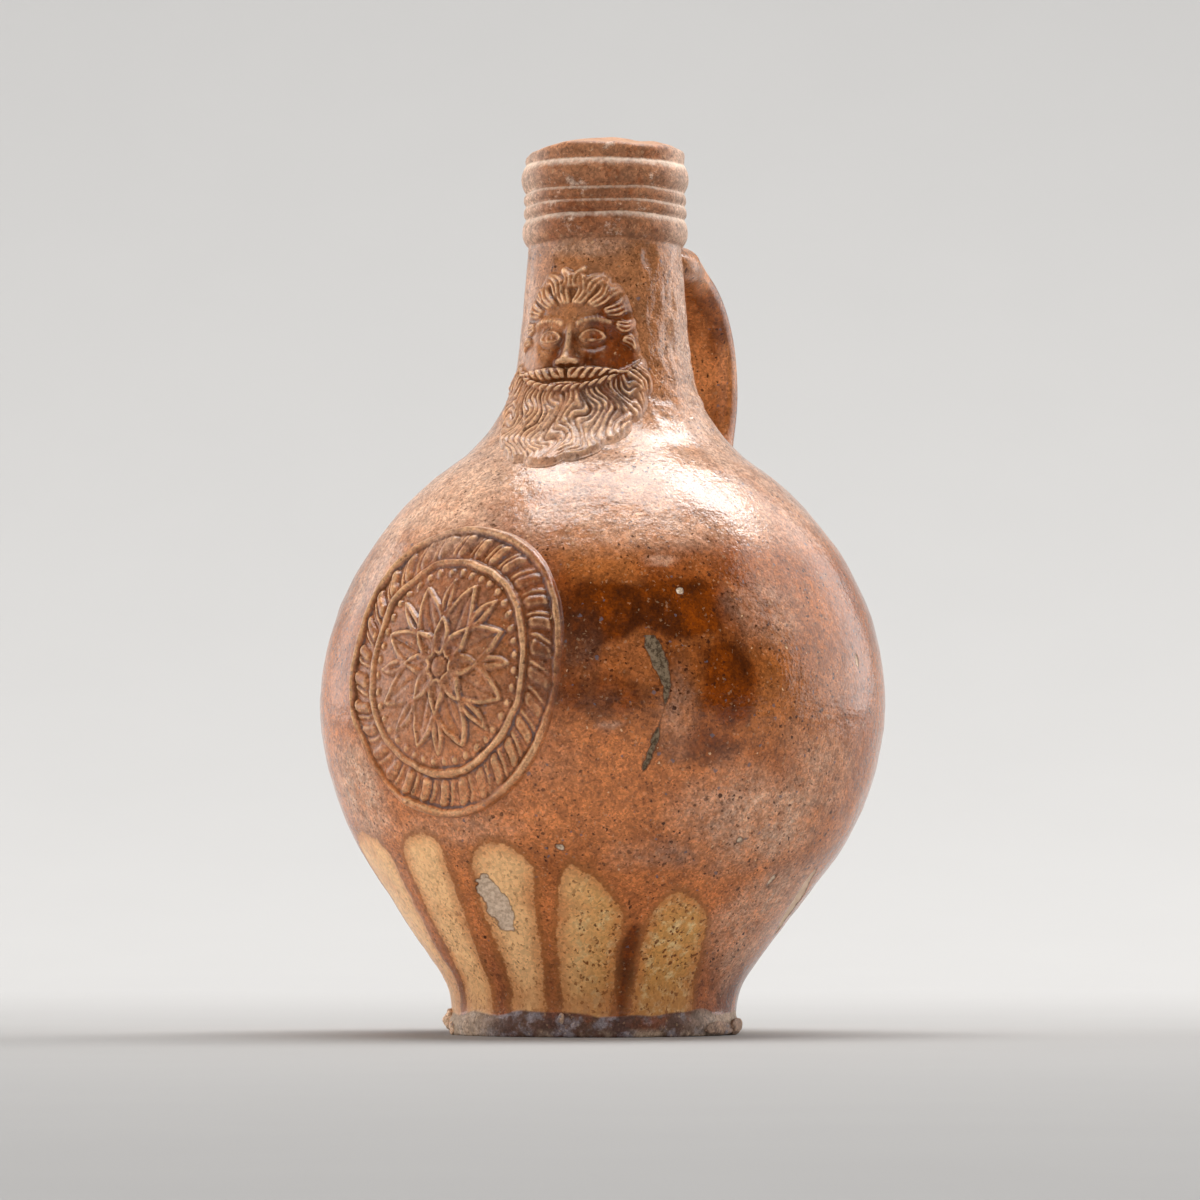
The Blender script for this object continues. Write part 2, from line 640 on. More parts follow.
def faceHeight(u, v):
    side = np.abs(u)
    browV, eyeU, eyeV = face["browV"], face["eyeU"], face["eyeV"]
    h = 2.4 * np.clip(1 - (u / 17.5) ** 2 - ((v - 2) / 26) ** 2, 0, 1) ** 0.9  # skull
    for rise, across, up, halfW, halfH in faceMounds:
        h += rise * np.exp(-oval(side, v, across, up, halfW, halfH) ** 2)
    # brow ridges with fine hair
    browLine = browV - 0.5 + 0.62 * side - 0.052 * side ** 2
    browFade = ramp(0.9, 2.2, side) * ramp(11.6, 8.6, side)
    comb = np.sin(2 * pi * (side * 1.1 + (v - browLine) * 0.5))
    h += 1.15 * bell(v - browLine, 1.05) * browFade * (0.9 + 0.1 * comb)
    # eyeball between its lids
    x = (side - eyeU) / 2.9
    arch = np.clip(1 - x * x, 0, 1) ** 0.8
    lidTop, lidLow = eyeV + 1.55 * arch, eyeV - 1.15 * arch
    opening = ramp(-0.1, 0.3, lidTop - v) * ramp(-0.1, 0.3, v - lidLow) * ramp(1.0, 0.9, np.abs(x))
    iris = oval(side, v, eyeU, eyeV + 0.2, 1.15, 1.15)
    ball = 1.35 * dome(oval(side, v, eyeU, eyeV, 3.2, 2.7)) + 0.22 * ramp(1.05, 0.85, iris)
    h += opening * (ball - 0.4 * bell(iris, 0.42))
    lids = 1.3 * bell(v - lidTop - 0.3, 0.5) + 0.9 * bell(v - lidLow + 0.25, 0.5)
    lids += 0.4 * bell(v - lidTop - 1.5, 0.5)  # the fold above them
    lids -= 0.3 * bell(v - lidLow + 1.7, 0.7)  # and the hollow below
    h += lids * ramp(1.25, 0.85, np.abs(x))
    # bridge of the nose, then the line of the mouth
    t = np.clip((browV - 0.5 - v) / (browV - 1.5), 0, 1)
    bridge = bell(side, 1.15 + 0.75 * t ** 1.5)
    h += (1.1 + 2.1 * t ** 1.15) * bridge * ramp(-0.6, 0.8, v) * ramp(browV + 2.5, browV - 2, v)
    return h - 0.8 * bell(v - face["mouthV"] + 0.3, 0.5) * ramp(4.4, 3.0, side)


def ropeHeight(along, across, half, pitch):  # a twisted strand with a round back
    d = across / np.maximum(half, 0.05)
    return dome(d) * (0.5 + 0.5 * np.abs(np.sin(pi * (along / pitch - 0.5 * d))) ** 0.7)


def moustacheHeight(u, v):  # two ropes that part under the nose, and one below the lip
    side = np.abs(u)
    line = -1.7 - 0.15 * side + 0.012 * side ** 2
    half = (1.1 + 0.8 * bell(side - 4.5, 5.0)) * ramp(15.5, 9.0, side)
    upper = 2.2 * ropeHeight(side, v - line, half, 1.9) * ramp(0.0, 0.9, side)
    lower = 2.9 * ropeHeight(u, v + 6.8 - 0.030 * side ** 2, 1.25 * ramp(12.5, 9.0, side), 1.9)
    return np.maximum(upper, lower)


def beardHeight(u, v):  # fine wavy strands gathered in locks, which fan out from above the mouth
    side = np.abs(u)
    root, lockWide = 13.0, 12.0
    ang = np.degrees(np.arctan2(u, root - v))
    rho = np.hypot(u, root - v)
    grows = ramp(1.2, -2.6, v + 4.2 + 0.06 * side - 0.026 * side ** 2)
    drift = 1.4 * np.sin(ang * 0.13 + 0.7) + 0.8 * np.sin(ang * 0.31)
    wave = 3.4 * np.sin(2 * pi * rho / 15.0 + drift)
    a = ang + wave * ramp(15, 27, rho) + 8.0 * np.tanh(u / 6) * ramp(33, 46, rho)
    lock = strands(a, lockWide, 41, 0.7)
    fine = strands(a + 0.4 * np.sin(rho * 0.9), lockWide / 4, 42, 0.8)
    i = np.floor(a / lockWide)
    q = a / lockWide - i - 0.5
    tier = 31.0 + 5.0 * (lot(i, 43) - 0.5) - 14.0 * q ** 2 - 0.0022 * ang ** 2
    return grows * (0.6 + 0.6 * lock + 1.0 * fine + 0.5 * ramp(0.4, -0.4, rho - tier))


def lockHeight(u, v, lock):  # one lock of hair, curling to a point
    across, up, heading, length, half, curl = lock
    t = radians(heading)
    along = (u - across) * sin(t) + (v - up) * cos(t)
    q = np.clip(along / length, 0, 1)
    off = (u - across) * cos(t) - (v - up) * sin(t) - curl * np.sin(1.6 * pi * q) * q
    wide = half * np.sin(pi * (0.12 + 0.86 * q)) ** 0.7
    d = off / wide
    hairs = 0.74 + 0.26 * np.cos(3 * pi * d)
    return dome(d) * hairs * ramp(0.0, 0.15, along / length) * ramp(1.0, 0.85, along / length)


def hairHeight(u, v):  # short wavy locks combed up and back from a parting
    h = np.zeros(np.shape(u))
    for side in (-1, 1):
        for number, lock in enumerate(hairLocks):
            turned = list(lock)
            turned[2] += 10 * side * (lot(number, 48) - 0.5)
            h = np.maximum(h, (1.5 + 0.5 * lot(number + 20 * side, 44)) * lockHeight(u * side, v, turned))
    return h


def maskRelief(u, v, f):
    skin = faceHeight(u, v)
    twist = moustacheHeight(u, v)
    h = 0.2 + skin + beardHeight(u, v) + hairHeight(u, v)
    h = np.where(twist > 0.05, np.maximum(h, 1.2 + skin * 0.7 + twist), h)
    low = np.stack([u, v, 0 * u], -1)
    h = h + lumps(low, face["skin"])
    upper = ramp(-6, 4, v)  # the face melts into the neck, the beard keeps its edge
    fade = upper * ramp(1.0, 0.80, f) + (1 - upper) * (0.12 + 0.88 * ramp(1.0, 0.93, f))
    return face["depth"] * h * fade - 0.25 * upper * ramp(0.9, 1.0, f)


mask = sprig(
    "faceMask", "face_mask",
    runAt(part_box("face_mask")[1][2] / mm) - face["top"],
    maskOutline, maskRelief, rings=160, soften=0.26,
)
print("mask applied,", len(mask.data.polygons), "faces")


# medallion: a rim, a leafy border and a double rosette

plate = dict(
    width=63.0, height=74.0, ground=0.5, depth=1.05, leaves=30, petals=8, beads=12, pellets=40,
    shakeU=((0.75, 8.0, 54), (0.25, 3.0, 56)),  # the mould was cut by hand
    shakeV=((0.75, 8.0, 55), (0.25, 3.0, 57)),
    pressed=((0.42, 10.0, 51),),
    skin=((0.12, 3.0, 52), (0.06, 1.2, 53)),
)
plateReach = (plate["width"] + plate["height"]) / 4 * 0.978


def medalOutline(a):
    uneven = 1 + 0.007 * np.sin(3 * a + 1.0) + 0.005 * np.sin(7 * a)
    return uneven / np.hypot(np.cos(a) / (plate["width"] / 2), np.sin(a) / (plate["height"] / 2))


def wire(d, half):  # a raised line with a round back
    return dome(d / half)


def fromSpoke(deg, far, count, turn=0.0):  # how far a point lies from the nearest of so many spokes
    b = (deg + turn) * count / 360
    return (b - np.floor(b) - 0.5) * 2 * pi / count * far


def petalRing(deg, far, turn, start, reach, wide):  # full petals with a raised edge and a vein
    across = fromSpoke(deg, far, plate["petals"], turn)
    t = np.clip((far - start) / (reach - start), 0, 1)
    half = wide * np.sin(pi * t ** 0.8) ** 0.7 * (1 - 0.25 * t) + 1e-3
    edge = wire(np.abs(across) - half + 0.7, 0.85)
    vein = bell(across, 0.55) * ramp(0.05, 0.25, t) * ramp(1.0, 0.8, t)
    h = 0.55 * dome(across / half) + 0.55 * edge - 0.4 * vein
    return np.where((np.abs(across) < half) & (far > start) & (far < reach), h, 0)


def pelletRing(deg, far, count, at):
    return dome(np.hypot(fromSpoke(deg, far, count), far - at) / 0.9)


def medalRelief(u, v, f):
    low = np.stack([u, v, 0 * u], -1)
    u, v = u + lumps(low, plate["shakeU"]), v + lumps(low, plate["shakeV"])
    deg = np.degrees(np.arctan2(v / plate["height"], u / plate["width"]))
    far = 2 * np.hypot(u / plate["width"], v / plate["height"]) * plateReach  # from the centre
    phase = deg * plate["leaves"] / 360 + 0.075 * (far - 27.5) + 0.004 * (far - 27.5) ** 2
    q = (phase - np.floor(phase) - 0.5) * 2 * pi * far / plate["leaves"]
    swell = ramp(24.0, 26.0, far) * ramp(31.4, 29.4, far)
    leaf = np.maximum(1.05 * wire(q, 0.5 + 0.95 * swell), 0.6 * wire(q - 2.3, 0.5 * swell + 0.05))
    inner = petalRing(deg, far, 22.5, 2.6, 10.6, 3.0)
    h = np.maximum.reduce([
        1.30 * wire(far - 32.0, 1.15),
        swell * leaf,
        1.15 * wire(far - 23.3, 0.95),
        0.80 * pelletRing(deg, far, plate["pellets"], 20.9),
        petalRing(deg, far, 0.0, 4.5, 19.0, 5.0),
        0.85 * petalRing(deg, far, 22.5, 10.5, 19.6, 2.0),
        np.where(inner > 0, 0.55 + inner, 0),
        1.45 * pelletRing(deg, far, plate["beads"], 3.7),
        1.80 * dome(far / 2.6),
    ])
    h = h * (0.86 + lumps(low, plate["pressed"])) + lumps(low, plate["skin"])
    return (plate["ground"] + plate["depth"] * h) * ramp(1.0, 0.96, f) - 0.2 * ramp(0.98, 1.0, f)


medalLow, medalHigh = (corner[2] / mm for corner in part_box("medallion"))
medal = sprig(
    "ovalMedallion", "medallion",
    (runAt(medalLow) + runAt(medalHigh)) / 2,
    medalOutline, medalRelief, rings=118, soften=0.24,
)
print("medallion applied,", len(medal.data.polygons), "faces")


# handle: a strap pulled out along one curve, smeared into the neck and the shoulder

strap = dict(
    width=26.0, thick=10.0, squareness=2.5, drop=4.0, landing=36.0,
    wider=(0.16, 7, 0.10), thicker=(0.12, 6, 0.22), smear=2.2,  # towards both ends
    bow=0.7, shoulder=0.6, firstPull=0.0, secondPull=0.6, rings=150, sides=72, seat=2.0,
    grooves=((0.55, -3.5, 2.0), (0.35, 4.5, 1.6)),  # that fingers drew: depth, place across, half width
    skin=((0.28, 15, 61), (0.12, 5, 62)),
)


def strapCurve():
    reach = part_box("handle")[1][1] / mm
    topAt = collarZ - strap["drop"]
    top = np.array([np.interp(topAt, wallZ, wallR), topAt])
    landing = np.array([strap["landing"], heightAt(strap["landing"])])

    def shares(t):
        return np.stack([(1 - t) ** 3, 3 * (1 - t) ** 2 * t, 3 * (1 - t) * t * t, t ** 3], -1)

    s, k = shares(np.array(strap["bow"])), strap["shoulder"]
    bowR = reach - strap["thick"] / 2 - top[0] * (s[0] + s[1] * (1 - k)) - landing[0] * s[3]
    bowR /= s[1] * k + s[2]
    fall = top[1] - landing[1]
    pulls = np.array([
        top,
        [top[0] + (bowR - top[0]) * k, top[1] - strap["firstPull"] * fall],
        [bowR, top[1] - strap["secondPull"] * fall],
        landing,
    ])
    return shares(np.linspace(0, 1, strap["rings"])) @ pulls


def makeHandle():
    path = strapCurve()
    along = np.gradient(path, axis=0)
    along /= np.linalg.norm(along, axis=1)[:, None]
    out = np.stack([-along[:, 1], along[:, 0]], -1)
    a = 2 * pi * np.arange(strap["sides"]) / strap["sides"]
    x0, n0 = (np.sign(w) * np.abs(w) ** (2 / strap["squareness"]) for w in (np.cos(a), np.sin(a)))
    run = runsAlong(path)
    end = np.minimum(run, run[-1] - run)

    def flared(more, over, last):
        return (1 + more * bell(end, over) + last * np.exp(-end / strap["smear"]))[:, None]

    x = strap["width"] / 2 * flared(*strap["wider"]) * x0
    n = strap["thick"] / 2 * flared(*strap["thicker"]) * n0
    drawn = (n0 > 0) * ramp(3, 12, end)[:, None]
    n = n - drawn * sum(deep * bell(x - at, wide) for deep, at, wide in strap["grooves"])
    p = np.stack([x, path[:, 0, None] + n * out[:, 0, None], path[:, 1, None] + n * out[:, 1, None]], -1)
    p[..., 1:] += lumps(p, strap["skin"])[..., None] * out[:, None, :]
    first, last = p[0].copy(), p[-1].copy()  # the ends follow the wall, a little way inside it
    depth = np.interp(first[:, 2], wallZ, wallR) - strap["seat"]
    first[:, 1] = np.sqrt(np.maximum(depth ** 2 - first[:, 0] ** 2, 1))
    last[:, 2] = heightAt(np.hypot(last[:, 0], last[:, 1])) - 1.6 * strap["seat"]
    p = lean(np.concatenate([first[None], p, last[None]]))
    points = np.concatenate([p.reshape(-1, 3), p[:1].mean(1), p[-1:].mean(1)])
    piece = newPiece("pulledHandle", points, closedNet(len(p), len(a)), "handle")
    joint = np.concatenate([[0], end, [0]])
    store(piece, "joint", np.concatenate([np.repeat(joint, len(a)), [0, 0]]))
    return piece


handle = makeHandle()
print("handle pulled,", len(handle.data.polygons), "faces")


# crumbs of kiln sand and clay that fused to the foot

crumbs = [  # angle, height, size outwards, sideways and up
    (-58, 3.6, 1.5, 2.8, 2.4),
    (-47, 1.8, 0.7, 2.4, 1.5),
    (90, 1.8, 0.5, 7.0, 1.6),
    (106, 2.3, 1.2, 5.0, 2.0),
    (17, 4.2, 0.7, 0.9, 1.4),
    (150, 2.0, 1.2, 2.8, 1.7),
    (-130, 2.6, 1.4, 3.3, 2.0),
    (-170, 1.8, 1.0, 2.4, 1.5),
]
crumbSkin = ((0.24, 0.8, 71), (0.10, 0.3, 72))


def makeCrumbs():
    points, faces = [], []
    ball = bmesh.new()
    bmesh.ops.create_icosphere(ball, subdivisions=4, radius=1)
    unit = np.array([v.co for v in ball.verts])
    tris = [[v.index for v in f.verts] for f in ball.faces]
    ball.free()
    for number, (angle, z, outwards, sideways, up) in enumerate(crumbs):
        a = radians(angle)
        lump = unit * (1 + lumps(unit + number * 7, crumbSkin))[:, None]
        r = np.interp(z, wallZ, wallR)
        p = around(np.array(a), r + 0 * lump[:, 1], z + lump[:, 2] * up)
        p = p + lump[:, :1] * outwards * np.array([sin(a), -cos(a), 0])
        p = p + lump[:, 1:2] * sideways * np.array([cos(a), sin(a), 0])
        p[:, 2] = np.maximum(p[:, 2], 0.05 + 0.02 * lump[:, 2])
        faces += [[i + len(points) * len(unit) for i in tri] for tri in tris]
        points.append(lean(p))
    return newPiece("footCrumbs", np.concatenate(points), faces, None)


footCrumbs = makeCrumbs()
print("crumbs set")


# finishes

def colour(*screen):  # from screen values of 0 to 255
    linear = [c / 255 / 12.92 if c < 11 else ((c / 255 + 0.055) / 1.055) ** 2.4 for c in screen]
    return (*linear, 1)


tones = dict(
    brown=(160, 92, 42), rust=(126, 62, 20), orange=(200, 120, 66), shoulder=(170, 114, 74),
    haze=(220, 188, 164), deep=(78, 33, 2), amber=(124, 56, 4), run=(214, 126, 70),
    runLow=(112, 58, 34), dust=(210, 170, 142), clayPale=(250, 196, 138), clayOlive=(214, 154, 84),
    clayCream=(238, 204, 146), burnt=(146, 92, 46), iron=(66, 32, 12), clayIron=(122, 68, 26),
    slate=(98, 92, 98), grit=(226, 186, 142), collar=(156, 104, 70), collarPale=(240, 216, 194),
    collarDark=(92, 52, 26), footDark=(78, 56, 50), footGrey=(124, 116, 120), footCrust=(186, 164, 142),
    spall=(222, 198, 172), spallDark=(166, 140, 116), flake=(230, 200, 174), oldChip=(132, 112, 88),
    oldChipDark=(70, 54, 36), beardCrest=(226, 178, 134), medalCrest=(212, 162, 116),
    sprigHollow=(100, 58, 30), lip=(170, 126, 94), crumbDark=(96, 70, 60), crumbPale=(214, 178, 148),
    strapDark=(130, 70, 26), strapLight=(204, 134, 80),
)
tones = {name: colour(*screen) for name, screen in tones.items()}
sheen = dict(  # roughness
    glaze=(0.08, 0.18), sprig=(0.24, 0.36), strap=(0.22, 0.34),
    bare=0.32, collar=0.55, broken=0.85, crumb=0.75, paper=0.9,
)
glassy = 1.5  # index of refraction


class Finish:  # one node tree with short calls for what a glaze needs
    def __init__(self, name):
        self.material = bpy.data.materials.new(name)
        self.material.use_nodes = True
        self.tree = self.material.node_tree
        self.tree.nodes.clear()
        self.shader = self.node("BsdfPrincipled")
        self.node("OutputMaterial", {0: self.shader.outputs[0]})
        self.place = self.node("TexCoord").outputs["Object"]
        self.shaken = None

    def node(self, kind, inputs=None, **settings):
        node = self.tree.nodes.new("ShaderNode" + kind)
        for name, value in settings.items():
            setattr(node, name, value)
        for socket, value in (inputs or {}).items():
            self.feed(node.inputs[socket], value)
        return node

    def feed(self, socket, value):  # another socket, the name of a tone, or a plain value
        if isinstance(value, bpy.types.NodeSocket):
            self.tree.links.new(value, socket)
        else:
            socket.default_value = tones[value] if isinstance(value, str) else value

    def shade(self, **values):
        for name, value in values.items():
            self.feed(self.shader.inputs[name.replace("_", " ")], value)
        return self.material

    def height(self):
        return self.node("SeparateXYZ", {0: self.place}).outputs["Z"]

    def field(self, name):
        return self.node("Attribute", attribute_name=name).outputs["Fac"]

    def vector(self, kind, a, b):
        node = self.node("VectorMath", {0: a, "Scale" if kind == "SCALE" else 1: b}, operation=kind)
        return node.outputs["Value" if kind == "DOT_PRODUCT" else "Vector"]

    def scale(self, col, factor):
        return self.vector("SCALE", col, factor)

    def ragged(self):  # the place shaken a little, so that grains come out uneven
        if not self.shaken:
            tremor = self.node("TexNoise", dict(Vector=self.place, Scale=1 / (0.8 * mm)))
            shake = self.vector("SUBTRACT", tremor.outputs["Color"], (0.5, 0.5, 0.5))
            self.shaken = self.vector("ADD", self.place, self.scale(shake, 1.1 * mm))
        return self.shaken

    def moved(self, scale, seed=0.0, place=None):  # stretched, or set off for another draw
        setOff = (seed * 0.37, seed * 0.71, seed * 0.13)
        inputs = dict(Vector=place or self.place, Scale=scale, Location=setOff)
        return self.node("Mapping", inputs).outputs[0]

    def noise(self, size, detail, rough, place=None, seed=0.0):  # size in mm
        inputs = dict(Vector=place or self.place, W=seed, Scale=1 / (size * mm))
        inputs.update(Detail=detail, Roughness=rough)
        return self.node("TexNoise", inputs, noise_dimensions="4D").outputs["Fac"]

    def math(self, kind, a, b=0.5, clamp=False):
        return self.node("Math", {0: a, 1: b}, operation=kind, use_clamp=clamp).outputs[0]

    def times(self, a, b):
        return self.math("MULTIPLY", a, b)

    def most(self, a, b):
        return self.math("MAXIMUM", a, b)

    def uneven(self, value, noise, depth):  # pushed up and down by a noise round 0.5
        return self.math("ADD", value, self.times(self.math("SUBTRACT", noise, 0.5), depth))

    def ramp(self, value, low, high, least=0.0, most=1.0):
        inputs = {"Value": value, "From Min": low, "From Max": high, "To Min": least, "To Max": most}
        return self.node("MapRange", inputs, interpolation_type="SMOOTHSTEP").outputs["Result"]

    def mix(self, share, a, b):
        return self.node("Mix", {0: share, 6: a, 7: b}, data_type="RGBA").outputs[2]

    def tint(self, col, tone, value, low, high, most=1.0):  # a tone that comes up with a value
        return self.mix(self.ramp(value, low, high, 0.0, most), col, tone)

    def blend(self, share, a, b):
        return self.node("Mix", {0: share, 2: a, 3: b}).outputs[0]

    def grains(self, spacing, seed, tall=1.0):  # distance from a grain's middle, and three draws for each
        place = self.moved((1, 1, 1 / tall), seed, self.ragged())
        cells = self.node("TexVoronoi", dict(Vector=place, Scale=1 / (spacing * mm)))
        return cells.outputs["Distance"], self.node("SeparateColor", {0: cells.outputs["Color"]}).outputs

    def specks(self, spacing, share, size, seed, tall=1.0):  # some grains alone, of about that radius in mm
        far, draw = self.grains(spacing, seed, tall)
        chosen = self.math("LESS_THAN", draw[0], share)
        width = self.math("ADD", self.times(draw[1], size / spacing), size / spacing * 0.4)
        return self.times(self.ramp(self.math("DIVIDE", far, width), 1.0, 0.7), chosen)

    def bump(self, height, depth, normal=None):  # depth in mm
        inputs = dict(Height=height, Distance=depth * mm, Strength=1.0)
        if normal:
            inputs["Normal"] = normal
        return self.node("Bump", inputs).outputs[0]

    def saltSkin(self, depth=0.1):  # the dimpled skin that salt vapour leaves
        dimples = self.noise(2.4, 2, 0.5, seed=3.0)
        turning = self.noise(1.5, 2, 0.5, self.moved((0.1, 0.1, 1)), 19.0)
        pores = self.noise(0.75, 2, 0.6, seed=5.0)
        return self.bump(pores, depth, self.bump(turning, depth * 0.7, self.bump(dimples, depth * 1.5)))


def wash(m):  # the brown iron wash, alike on the body and the sprigs, with what its marks follow
    z = m.height()
    fine = m.noise(1.1, 3, 0.65, seed=4.0)
    mottle = m.noise(28, 5, 0.6, seed=1.0)
    drift = m.noise(9, 4, 0.6, seed=2.0)
    col = m.mix(m.ramp(mottle, 0.38, 0.64), "brown", "rust")
    low = m.times(m.ramp(z, 0.086, 0.052), m.ramp(drift, 0.3, 0.65, 0.2, 0.9))
    col = m.mix(low, col, "orange")
    return m.tint(col, "shoulder", z, 0.122, 0.150, 0.8), z, drift, fine


def grainy(m, col, depth=1.0):  # grains of uneven tone all through the glaze
    tiger = m.noise(3.0, 5, 0.75, seed=7.0)
    col = m.scale(col, m.ramp(tiger, 0.36, 0.64, 1 - 0.2 * depth, 1 + 0.2 * depth))
    for spacing, spread, black, seed in ((1.3, 0.08, 0.16, 21.0), (0.5, 0.26, 0.4, 20.0)):
        draw = m.grains(spacing, seed)[1]
        col = m.scale(col, m.ramp(draw[0], 0.0, 1.0, 1 - spread * depth, 1 + spread * depth))
        col = m.mix(m.ramp(draw[1], 0.84, 0.97, 0.0, black * depth), col, "iron")
    return m.mix(m.ramp(draw[2], 0.96, 0.99, 0.0, 0.2 * depth), col, "grit")


def flecks(m, col, share=1.0):  # iron, slate and grit in the glaze, here thick and there thin
    crowd = m.ramp(m.noise(11, 3, 0.6, seed=15.0), 0.36, 0.64, 0.4 * share, 1.0 * share)
    col = m.mix(m.times(m.specks(1.25, 0.5, 0.34, 1.0), crowd), col, "iron")
    col = m.mix(m.times(m.specks(2.6, 0.3, 0.5, 2.0), crowd), col, "iron")
    col = m.mix(m.times(m.specks(2.3, 0.26, 0.42, 3.0), 0.7 * share), col, "slate")
    return m.mix(m.times(m.specks(2.2, 0.2, 0.26, 4.0), 0.8 * share), col, "grit")


def washMarks(m, z, col, drift, fine):  # orange and dark places, the runs near the foot, haze and dust
    streak = m.noise(5, 3, 0.6, m.moved((1, 1, 0.22)), 6.0)
    torn = m.noise(6.5, 6, 0.72, seed=16.0)
    blush = m.times(m.field("blush"), m.ramp(torn, 0.38, 0.6, 0.35, 1.0))
    col = m.mix(blush, col, "orange")
    col = m.tint(col, "rust", m.noise(4.2, 6, 0.75, seed=17.0), 0.55, 0.66, 0.5)
    col = m.tint(col, "run", z, 0.046, 0.026, 0.7)
    low = m.times(m.ramp(z, 0.028, 0.009), m.ramp(streak, 0.36, 0.6, 0.6, 1.0))
    col = m.mix(low, col, "runLow")
    deep = m.uneven(m.field("deep"), torn, 0.9)
    thick = m.ramp(m.math("ADD", drift, streak), 0.8, 1.15)
    col = m.mix(m.ramp(deep, 0.16, 0.72), col, m.mix(thick, "amber", "deep"))
    patchy = m.ramp(torn, 0.36, 0.62, 0.45, 1.0)
    hazy = m.times(m.ramp(m.field("ledge"), 0.25, 0.75, 0.0, 0.5), m.ramp(z, 0.108, 0.128))
    col = m.mix(m.times(hazy, patchy), col, "haze")
    dust = m.times(m.times(m.field("dust"), patchy), m.ramp(fine, 0.36, 0.6, 0.55, 1.0))
    return m.mix(dust, col, "dust"), dust


def bareClay(m, z, col, drift, fine):  # bare windows with a burnt edge and iron specks
    edge = m.uneven(m.field("bare"), fine, 2.4)
    low = m.ramp(z, 0.058, 0.051)
    burnt = m.times(m.times(m.ramp(edge, -3.0, 0.0), low), 0.6)
    col = m.mix(burnt, col, "burnt")
    olive = m.ramp(m.field("sideways"), -0.5, 0.25)
    clay = m.mix(olive, "clayPale", "clayOlive")
    cream = m.ramp(m.noise(2.6, 4, 0.7, seed=11.0), 0.5, 0.64)
    clay = m.mix(m.times(cream, m.ramp(olive, 0.2, 1.0, 0.15, 0.9)), clay, "clayCream")
    clay = m.tint(clay, "orange", drift, 0.46, 0.7, 0.45)
    clay = m.mix(m.times(m.ramp(edge, 3.6, 0.2), 0.55), clay, "orange")
    draw = m.grains(0.55, 14.0, 1.4)[1]
    clay = m.scale(clay, m.ramp(draw[0], 0.0, 1.0, 0.84, 1.16))
    crowd = m.math("ADD", m.ramp(z, 0.048, 0.022, 0.3, 0.75), m.times(olive, 0.5))
    peppered = m.most(m.ramp(draw[1], 0.84, 0.97, 0.0, 0.8), m.specks(1.5, 0.4, 0.3, 6.0, 1.5))
    clay = m.mix(m.math("MULTIPLY", peppered, crowd, True), clay, "clayIron")
    clay = m.mix(m.times(m.specks(3.4, 0.2, 0.36, 7.0, 1.3), 0.85), clay, "iron")
    clay = m.tint(clay, "burnt", z, 0.020, 0.007, 0.55)
    bare = m.times(m.ramp(edge, -0.4, 0.45), low)
    return m.mix(bare, col, clay), bare


def dryCollar(m, z, col, fine):  # pale on the upper side of the cordons
    dry = m.ramp(z, (collarZ - 3) * mm, (collarZ + 2) * mm)
    ledge = m.uneven(m.field("ledge"), fine, 0.5)
    collar = m.mix(m.times(m.field("deep"), 0.6), "collar", "rust")
    collar = m.tint(collar, "collarDark", ledge, -0.15, -0.8, 0.6)
    worn = m.noise(5, 5, 0.75, seed=18.0)
    collar = m.tint(collar, "rust", worn, 0.46, 0.36, 0.7)
    collar = m.tint(collar, "collarPale", worn, 0.55, 0.66, 0.5)
    aside = m.math("ABSOLUTE", m.field("sideways"))
    collar = m.tint(collar, "collarPale", aside, 0.65, 1.0, 0.4)
    collar = grainy(m, collar)
    pale = m.mix(m.field("lip"), "collarPale", "lip")
    dusted = m.times(m.ramp(ledge, 0.22, 0.66), m.ramp(aside, 0.1, 0.8, 0.85, 1.0))
    dusted = m.times(dusted, m.ramp(worn, 0.34, 0.52, 0.65, 1.0))
    collar = m.mix(dusted, collar, pale)
    return m.mix(m.times(dry, 0.9), col, collar), dry


def footBand(m, z, col, drift):  # the dark ring that stood in the kiln, with its crust
    foot = m.ramp(m.uneven(m.field("crust"), drift, 0.8), 0.3, 0.7)
    patchy = m.ramp(m.noise(4.0, 4, 0.6, seed=9.0), 0.48, 0.64)
    band = m.mix(patchy, "footDark", "footGrey")
    band = m.tint(band, "runLow", drift, 0.50, 0.62, 0.7)
    crusty = m.times(m.ramp(z, 0.0026, 0.0004), m.ramp(drift, 0.42, 0.6))
    aside = m.ramp(m.math("ABSOLUTE", m.field("sideways")), 0.55, 0.95, 0.0, 0.75)
    band = m.mix(m.most(m.times(crusty, 0.8), aside), band, "footCrust")
    return m.mix(m.times(foot, 0.95), col, grainy(m, band)), foot


def brokenGlaze(m, col, fine):  # scars down to the grey body, the oldest ones dark
    torn = m.uneven(m.field("scar"), fine, 0.9)
    scar = m.ramp(torn, -0.08, 0.14)
    rim = m.times(m.ramp(torn, -0.4, -0.05), m.ramp(torn, 0.3, 0.0))
    lumpy = m.ramp(m.noise(0.9, 4, 0.75, seed=10.0), 0.40, 0.58)
    grey = m.mix(lumpy, "spallDark", "spall")
    grey = m.mix(m.most(m.field("pale"), 0.0), grey, "flake")
    old = m.mix(lumpy, "oldChipDark", "oldChip")
    grey = m.tint(grey, old, m.field("pale"), 0.0, -0.8)
    col = m.mix(scar, col, grey)
    return m.mix(m.times(rim, 0.6), col, "iron"), scar


